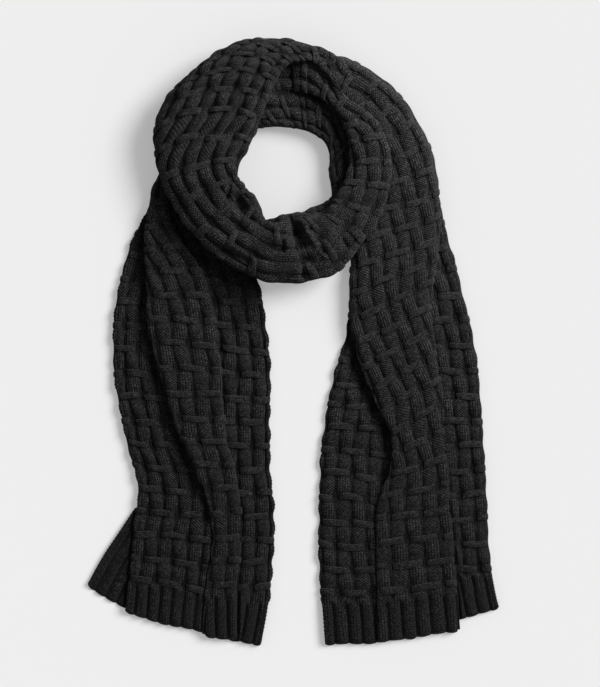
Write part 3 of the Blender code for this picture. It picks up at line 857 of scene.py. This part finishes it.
def add_mesh(name, vertices, faces, material, shares=None, uv=None):
    """A smooth-shaded mesh object, with values on its points for its material to read."""
    mesh = bpy.data.meshes.new(name)
    mesh.from_pydata(vertices, [], faces)
    for label, values in (shares or {}).items():
        values_layer = mesh.attributes.new(label, "FLOAT", "POINT")
        values_layer.data.foreach_set("value", np.ascontiguousarray(values, dtype=np.float32))
    if uv is not None:
        uv_layer = mesh.uv_layers.new(name="UVMap")
        corners = np.empty(len(mesh.loops), dtype=np.int32)
        mesh.loops.foreach_get("vertex_index", corners)
        uv_layer.data.foreach_set("uv", np.ascontiguousarray(uv[corners], dtype=np.float32).ravel())
    mesh.shade_smooth()
    mesh.materials.append(material)
    return add_object(name, mesh)


def stitch_places(distance, along):
    """Places in the knitting, counted in stitches across and along."""
    return np.column_stack((distance.ravel() / STITCH_WIDTH, along.ravel() / STITCH_HEIGHT))


def stretch_piece(cloth):
    """The wall of one stretch, riding on the part and standing for its solids."""
    stretch = cloth.stretch
    points, relief = worked_points(cloth)
    vertices, faces = shell_mesh(cloth, points)
    extra = len(vertices) - relief.size
    distance = cloth.distance_in()
    along = cloth.lengths[:, None] - cloth.ahead()
    rib = np.floor(distance / RIB_PITCH - stretch.phase)
    row = np.floor((along - stretch.first_bar) / stretch.bar_pitch)
    # painted shade: the tone darkens with this from the crests down into the valleys
    crest = np.clip((relief + RIB_DEPTH) / RIB_DEPTH, 0, SHADE_CREST_MOST)
    # painted shade: the hem's tight ribbing is darker
    if stretch.hem:
        crest *= 1 - HEM_SHADE * smoothstep((along - cloth.lengths[-1] + stretch.hem) / HEM_BLEND)
    shares = {"crest": np.concatenate((crest.ravel(), np.full(extra, SHADE_INSIDE))),
              "purl": np.concatenate(((rib + row).ravel() % 2, np.zeros(extra)))}
    uv = stitch_places(distance, along)
    if extra:
        steps = np.ix_(coarse_steps(distance.shape[0]), coarse_steps(distance.shape[1]))
        uv = np.vstack((uv, stitch_places(distance[steps], along[steps])))
    return add_mesh(stretch.name + "_knit", vertices, faces, knit, shares, uv)


def sample(grid, row, column):
    """Values of a grid between its points (bilinear)."""
    row = np.clip(row, 0, grid.shape[0] - 1.001)
    column = np.clip(column, 0, grid.shape[1] - 1.001)
    low_row, low_column = row.astype(int), column.astype(int)
    row_share, column_share = (row - low_row)[..., None], (column - low_column)[..., None]
    near, far = (grid[at, low_column] * (1 - column_share) + grid[at, low_column + 1] * column_share
                 for at in (low_row, low_row + 1))
    return near * (1 - row_share) + far * row_share


def bar_section():
    """Outline round a bar, as places across its width, heights and painted shade, darker between strands:
    strands above, flat below.
    """
    turn = np.linspace(0, math.pi, 4 * BAR_STRANDS + 1)
    place = -np.cos(turn)
    strands = STRAND_DEPTH * (0.5 - 0.5 * np.cos(math.pi * BAR_STRANDS * (place + 1)))
    height = BAR_THICK * np.sin(turn) ** BAR_SQUARE - STRAND_DEPTH + strands
    height[[0, -1]] = 0.0
    # painted shade: darker in the grooves between strands
    tone = STRAND_GROOVE_SHADE + (1 - STRAND_GROOVE_SHADE) * strands / STRAND_DEPTH
    under = np.array([[0.5, -0.5, 0.0], [-0.5, -0.5, 0.0]])
    return np.vstack((np.column_stack((place, height, tone)), under))


def bar_points(cloth, along, distance, draw):
    """Grid of points of one bar: a ring of its outline at each place along it."""
    half = BAR_REACH * RIB_PITCH * draw.uniform(*BAR_LENGTHS)
    reach = np.sin(np.linspace(-math.pi / 2, math.pi / 2, BAR_PLACES))
    from_middle = np.abs(reach)[:, None]
    section = bar_section()
    row = min(int(cloth.row_at(along)), len(cloth.lengths) - 2)
    inward = (distance + reach * half - cloth.drift[row]) * cloth.spread[row]
    if cloth.stretch.count_from == "left":
        arcs = cloth.arc_left[row] + inward
    else:
        arcs = cloth.arc_right[row] - inward
    column = np.interp(arcs, cloth.arcs[row], np.arange(cloth.arcs.shape[1]))
    slant = draw.uniform(-BAR_SLANT, BAR_SLANT)
    width = BAR_WIDTH / 2 * draw.uniform(*BAR_WIDTHS)
    bow = draw.uniform(-BAR_BOW, BAR_BOW)
    ahead = cloth.ahead(arcs[None, :], row)[0]
    lengths = along + (ahead[:, None] + reach[:, None] * half * slant + bow * (1 - reach[:, None] ** 2)
                       + section[None, :, 0] * width * (1 - BAR_NARROW * from_middle ** 3))
    rows = cloth.row_at(lengths)
    columns = np.repeat(column[:, None], len(section), axis=1)
    base = sample(cloth.points, rows, columns)
    out = sample(cloth.normals, rows, columns)
    dive = smoothstep((from_middle - BAR_DIVE) / (1 - BAR_DIVE))
    saddle = BAR_SADDLE * np.exp(-(from_middle / SADDLE_WIDTH) ** 2)
    lift = (BAR_LIFT * (1 - dive) - BAR_SINK * RIB_DEPTH * dive - saddle) * cloth.depth[row]
    shown = sample(edge_share(cloth)[..., None], rows, columns)[..., 0]
    lift = np.where(lift < 0, lift * shown, lift)
    thick = section[None, :, 1] * (1 - BAR_THIN * dive)
    points = base + out * (lift + thick)[..., None]
    return settle(press(points, np.interp(along, cloth.lengths, cloth.rise)), cloth)


def bars_piece(cloth):
    """All the bars of one stretch, as one piece of closed strips, in rows staggered like bricks."""
    stretch = cloth.stretch
    draw = np.random.default_rng(sum(map(ord, stretch.name)))
    flip = cloth.flipped != (stretch.count_from == "right")
    section = bar_section()
    vertices, faces, valley_shades, places = [], [], [], []
    number = 0
    along = stretch.first_bar
    while along < cloth.lengths[-1] - stretch.hem:
        row = int(cloth.row_at(along))
        span = cloth.arc_right[row] - cloth.arc_left[row]
        first = (number + stretch.parity) % 2
        last = int((span / cloth.spread[row] + cloth.drift[row]) / RIB_PITCH)
        for rib in range(first - 2, last + 2, 2):
            distance = (rib + 1 + stretch.phase) * RIB_PITCH
            inward = (distance - cloth.drift[row]) * cloth.spread[row]
            if not -BAR_BEYOND * RIB_PITCH < inward < span + BAR_BEYOND * RIB_PITCH:
                continue
            points = bar_points(cloth, along + draw.uniform(-BAR_SHIFT, BAR_SHIFT), distance, draw)
            middle = points.mean(axis=(0, 1))
            if stretch.hollow and calm_share(middle[0], middle[1]) > 0.5:
                continue
            count, ring = points.shape[:2]
            index = len(vertices) * count * ring + np.arange(count * ring).reshape(count, ring)
            after = np.roll(index, -1, axis=1)
            bar_faces = quads(index[:-1], after[:-1], after[1:], index[1:])
            bar_faces += [index[0, ::-1].tolist(), index[-1].tolist()]
            faces += bar_faces if flip else [face[::-1] for face in bar_faces]
            vertices.append(points.reshape(-1, 3))
            # painted shade: a bar darkens towards its ends, where they dive into the valleys
            light = 1 - BAR_END_SHADE * np.abs(np.linspace(-1, 1, count)) ** 3
            valley_shades.append(np.outer(light, section[:, 2]).ravel())
            yarn_along = np.repeat(np.linspace(0, 1, count) * BAR_REPEATS + rib, ring)
            places.append(np.column_stack((yarn_along, np.tile(np.linspace(0, 1, ring), count))))
        number += 1
        along += stretch.bar_pitch
    if not vertices:
        return None
    vertices = np.vstack(vertices) * MM
    shares = {"crest": np.concatenate(valley_shades)}
    return add_mesh(stretch.name + "_bars", vertices, faces, bar_yarn, shares, np.vstack(places))


def hair_points(root, out, side, length, lie, radius):
    """A tapering three-sided hair: two rings and a tip, from its root outwards and bent over."""
    turn = np.arange(3) * 2 * math.pi / 3
    ring = (np.cos(turn)[:, None] * side + np.sin(turn)[:, None] * np.cross(out, side)) * radius
    knee = root + (out * (1 - lie) + side * lie) * length * HAIR_KNEE
    tip = knee + (out * (1 - lie) / 2 + side * (lie + HAIR_BEND)) * length * (1 - HAIR_KNEE)
    return np.vstack((root + ring, knee + ring * HAIR_TAPER, tip))


HAIR_FACES = ((0, 2, 1), (0, 1, 4, 3), (1, 2, 5, 4), (2, 0, 3, 5), (3, 4, 6), (4, 5, 6), (5, 3, 6))


def fuzz_piece(cloth):
    """Loose wool hairs standing on the ribs of one stretch."""
    draw = np.random.default_rng(sum(map(ord, cloth.stretch.name)) + 1)
    points, relief = worked_points(cloth)
    shown = np.argwhere((cloth.showing() > 0.99) & (relief > -0.5 * RIB_DEPTH))
    count = round(HAIRS * cloth.lengths[-1] / HAIRS_LENGTH)
    vertices, faces = [], []
    for number, (row, column) in enumerate(shown[draw.integers(0, len(shown), count)]):
        out = unit(cloth.normals[row, column] + draw.normal(0, HAIR_SPREAD, 3))
        side = unit(np.cross(out, draw.normal(0, 1, 3)))
        length = HAIR_LENGTH * draw.uniform(*HAIR_LENGTHS)
        root = points[row, column] - out * HAIR_ROOT
        lie = draw.uniform(*HAIR_LIE)
        hair = hair_points(root, out, side, length, lie, HAIR_RADIUS * draw.uniform(*HAIR_RADII))
        hair[:, 2] = np.maximum(hair[:, 2], FLOOR_GAP)
        vertices.append(hair)
        faces += [[corner + 7 * number for corner in face] for face in HAIR_FACES]
    return add_mesh(cloth.stretch.name + "_fuzz", np.vstack(vertices) * MM, faces, fuzz_wool)


# ---------------------------------------------------------------- materials
YARN_DARK = (0.0025, 0.0024, 0.0025, 1.0)
YARN = (0.0096, 0.0094, 0.0097, 1.0)
YARN_LIGHT = (0.040, 0.0388, 0.040, 1.0)
HAIR_COLOUR = (0.040, 0.039, 0.040, 1.0)  # the lighter wool of the heather
HEATHER_NOISE = (400.0, 4.0, 0.75)  # flecks of lighter and darker wool: scale, detail, roughness
HEATHER_SPREAD = 8.0
FIBRE_NOISE = (1500.0, 3.0, 0.6)  # single fibres
CLOUD_NOISE = (38.0, 3.0, 0.55)  # and broad lighter and darker places
FLECK_TONE = 0.45  # how much flecks, stitches and clouds have to do with the tone
STITCH_TONE = 0.7
CLOUD_TONE = 0.35
TONE_SHIFT = -0.07
VALLEY_SHADE_TONE = 0.42  # painted shade: this share of the tone is gone in the valleys
SHADE_CREST_MOST = 1.2  # highest crest that its material reads, for painted light on the crests against painted shade in the valleys
SHADE_INSIDE = 0.5  # and what the painted shade reads inside a hollow stretch
LEG_SLANT = 1.6  # a stitch's two legs slant down to its middle
PLY_DEPTH = 0.3  # between the plies of a leg
PURL_SKEW = 1.5  # purl bumps lie on two sets of slanting lines
BAR_TWIST = 5.0  # half turns of a bar's yarn over one repeat along it
BAR_PLIES = 6.0  # and over its width
FIBRE_BUMP = 0.8  # height of the fibres against the stitches
KNIT_BUMP = 0.0011  # height of the stitches, in metres
BAR_BUMP = 0.0005


def set_inputs(made, **values):
    """Sets values on a node's sockets, where _ stands for a space in a socket's name."""
    for label, value in values.items():
        made.inputs[label.replace("_", " ")].default_value = value
    return made


def new_material(name, **values):
    """A new material, and its shader with some values set."""
    material = bpy.data.materials.new(name)
    material.use_nodes = True
    return material, set_inputs(material.node_tree.nodes["Principled BSDF"], **values)


def maths(tree, operation, first, second=None):
    """A Math node over two values or sockets."""
    made = tree.nodes.new("ShaderNodeMath")
    made.operation = operation
    for slot, value in enumerate((first, second)):
        if value is None:
            continue
        if hasattr(value, "links"):
            tree.links.new(value, made.inputs[slot])
        else:
            made.inputs[slot].default_value = value
    return made.outputs[0]


def yarn_material(name, stitched):
    """Charcoal wool-blend yarn: knitted, with plain and purl stitches, or laid in strands."""
    material, shader = new_material(
        name, Roughness=0.92, Specular_IOR_Level=0.10, Sheen_Weight=0.03, Sheen_Roughness=0.45)
    tree = material.node_tree
    add, take, times, size, sine, cosine, part = (
        partial(maths, tree, operation)
        for operation in ("ADD", "SUBTRACT", "MULTIPLY", "ABSOLUTE", "SINE", "COSINE", "FRACT"))
    node, link = tree.nodes.new, tree.links.new
    place = node("ShaderNodeTexCoord")
    fibre, heather, cloud = (
        set_inputs(node("ShaderNodeTexNoise"), Scale=scale, Detail=detail, Roughness=rough)
        for scale, detail, rough in (FIBRE_NOISE, HEATHER_NOISE, CLOUD_NOISE))
    for texture in (fibre, heather, cloud):
        link(place.outputs["Object"], texture.inputs["Vector"])
    split = node("ShaderNodeSeparateXYZ")
    link(place.outputs["UV"], split.inputs[0])
    across, along = split.outputs[0], split.outputs[1]
    if stitched:
        column = part(across)
        lean = size(take(column, 0.5))
        leg = size(sine(times(column, 2 * math.pi)))
        ply = cosine(times(add(along, times(lean, LEG_SLANT)), 2 * math.pi))
        plain = times(leg, add(times(ply, PLY_DEPTH), 1 - PLY_DEPTH))
        skew = times(across, PURL_SKEW)
        one = cosine(times(add(along, skew), math.pi))
        two = cosine(times(take(along, skew), math.pi))
        bumps = size(times(one, two))
        purl = node("ShaderNodeAttribute")
        purl.attribute_name = "purl"
        mix = node("ShaderNodeMix")
        link(purl.outputs["Fac"], mix.inputs["Factor"])
        link(plain, mix.inputs["A"])
        link(bumps, mix.inputs["B"])
        stitches = mix.outputs["Result"]
    else:
        twist = add(times(across, BAR_TWIST), times(along, BAR_PLIES))
        stitches = size(sine(times(twist, math.pi)))
    crest = node("ShaderNodeAttribute")
    crest.attribute_name = "crest"
    flecks = times(take(heather.outputs["Fac"], 0.5), HEATHER_SPREAD)
    tone = add(times(flecks, FLECK_TONE), times(stitches, STITCH_TONE))
    tone = add(add(tone, times(cloud.outputs["Fac"], CLOUD_TONE)), TONE_SHIFT)
    # painted shade: the tone darkens down into the valleys, between a bar's strands and at its ends
    tone = times(tone, add(times(crest.outputs["Fac"], VALLEY_SHADE_TONE), 1 - VALLEY_SHADE_TONE))
    ramp = node("ShaderNodeValToRGB")
    dark, light = ramp.color_ramp.elements
    dark.position, dark.color = 0.05, YARN_DARK
    light.position, light.color = 1.0, YARN_LIGHT
    middle = ramp.color_ramp.elements.new(0.50)
    middle.color = YARN
    link(tone, ramp.inputs["Fac"])
    link(ramp.outputs["Color"], shader.inputs["Base Color"])
    height = add(stitches, times(fibre.outputs["Fac"], FIBRE_BUMP))
    bump = set_inputs(node("ShaderNodeBump"), Strength=1.0, Distance=KNIT_BUMP if stitched else BAR_BUMP)
    link(height, bump.inputs["Height"])
    link(bump.outputs["Normal"], shader.inputs["Normal"])
    return material


# ---------------------------------------------------------------- studio
VIEW_LENGTH = 0.8244  # of the photograph's long side, on the surface
VIEW_CENTRE = (0.009, -0.0006)
CAMERA_HEIGHT = 5.0
FOCUS_HEIGHT = 0.02
SENSOR = 36.0
KEY_HEIGHT = math.radians(41)  # of the key light over the surface
KEY_TURN = math.radians(28)  # and round from +X towards +Y
KEY_ANGLE = math.radians(30)  # its size in the sky, for soft shadows
KEY_POWER = 2.60
SKY = 0.30
FILL_POWER = 12.0
FILL_SIZE = 0.35
FILL_PLACE = (0.50, 0.62, 0.38)
FILL_AIM = (0.10, 0.15, 0.0)
FLOOR_SIZE = 16.0
FLOOR_COLOUR = (0.70, 0.70, 0.70, 1.0)
FLOOR_GLOW = 0.27  # of the light table's own light
WHITE = (1.0, 1.0, 1.0, 1.0)


def studio():
    """Pale floor, soft light from the upper right, and a camera straight above."""
    bpy.ops.mesh.primitive_plane_add(size=FLOOR_SIZE)
    floor = bpy.context.object
    floor.name = "studio_floor"
    floor.data.materials.append(new_material(
        "floor_paper", Base_Color=FLOOR_COLOUR, Roughness=1.0, Specular_IOR_Level=0.0,
        Emission_Color=WHITE, Emission_Strength=FLOOR_GLOW)[0])
    key = add_object("key_light", bpy.data.lights.new("key_light", "SUN"))
    key.data.energy = KEY_POWER
    key.data.angle = KEY_ANGLE
    key.rotation_euler = (math.pi / 2 - KEY_HEIGHT, 0, KEY_TURN + math.pi / 2)
    fill = add_object("fill_light", bpy.data.lights.new("fill_light", "AREA"))
    fill.data.energy = FILL_POWER
    fill.data.size = FILL_SIZE
    fill.location = FILL_PLACE
    away = Vector(FILL_PLACE) - Vector(FILL_AIM)
    fill.rotation_euler = away.to_track_quat("Z", "Y").to_euler()
    fill.light_linking.receiver_collection = lit_pieces
    world = bpy.data.worlds.new("studio_sky")
    world.use_nodes = True
    set_inputs(world.node_tree.nodes["Background"], Color=WHITE, Strength=SKY)
    bpy.context.scene.world = world
    camera = add_object("camera", bpy.data.cameras.new("camera"))
    camera.data.sensor_width = SENSOR
    camera.data.lens = SENSOR * (CAMERA_HEIGHT - FOCUS_HEIGHT) / VIEW_LENGTH
    camera.data.clip_end = 50.0
    camera.location = (*VIEW_CENTRE, CAMERA_HEIGHT)
    bpy.context.scene.camera = camera
    bpy.context.scene.view_settings.view_transform = "Standard"


knit = yarn_material("charcoal_knit_worked", True)
bar_yarn = yarn_material("charcoal_bar_yarn", False)
fuzz_wool, _ = new_material(
    "charcoal_fuzz_hair", Base_Color=HAIR_COLOUR, Roughness=0.8, Specular_IOR_Level=0.1)
lit_pieces = bpy.data.collections.new("lit_by_fill")
cloths = {stretch.name: Cloth(stretch) for stretch in STRETCHES}
for cloth in cloths.values():
    piece = stretch_piece(cloth)
    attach(piece, "root")
    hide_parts(*cloth.stretch.nodes)
    worked = [extra for extra in (bars_piece(cloth), fuzz_piece(cloth)) if extra]
    for extra in worked:
        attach(extra, "root")
    for lit in [piece] + worked:
        lit_pieces.objects.link(lit)
studio()
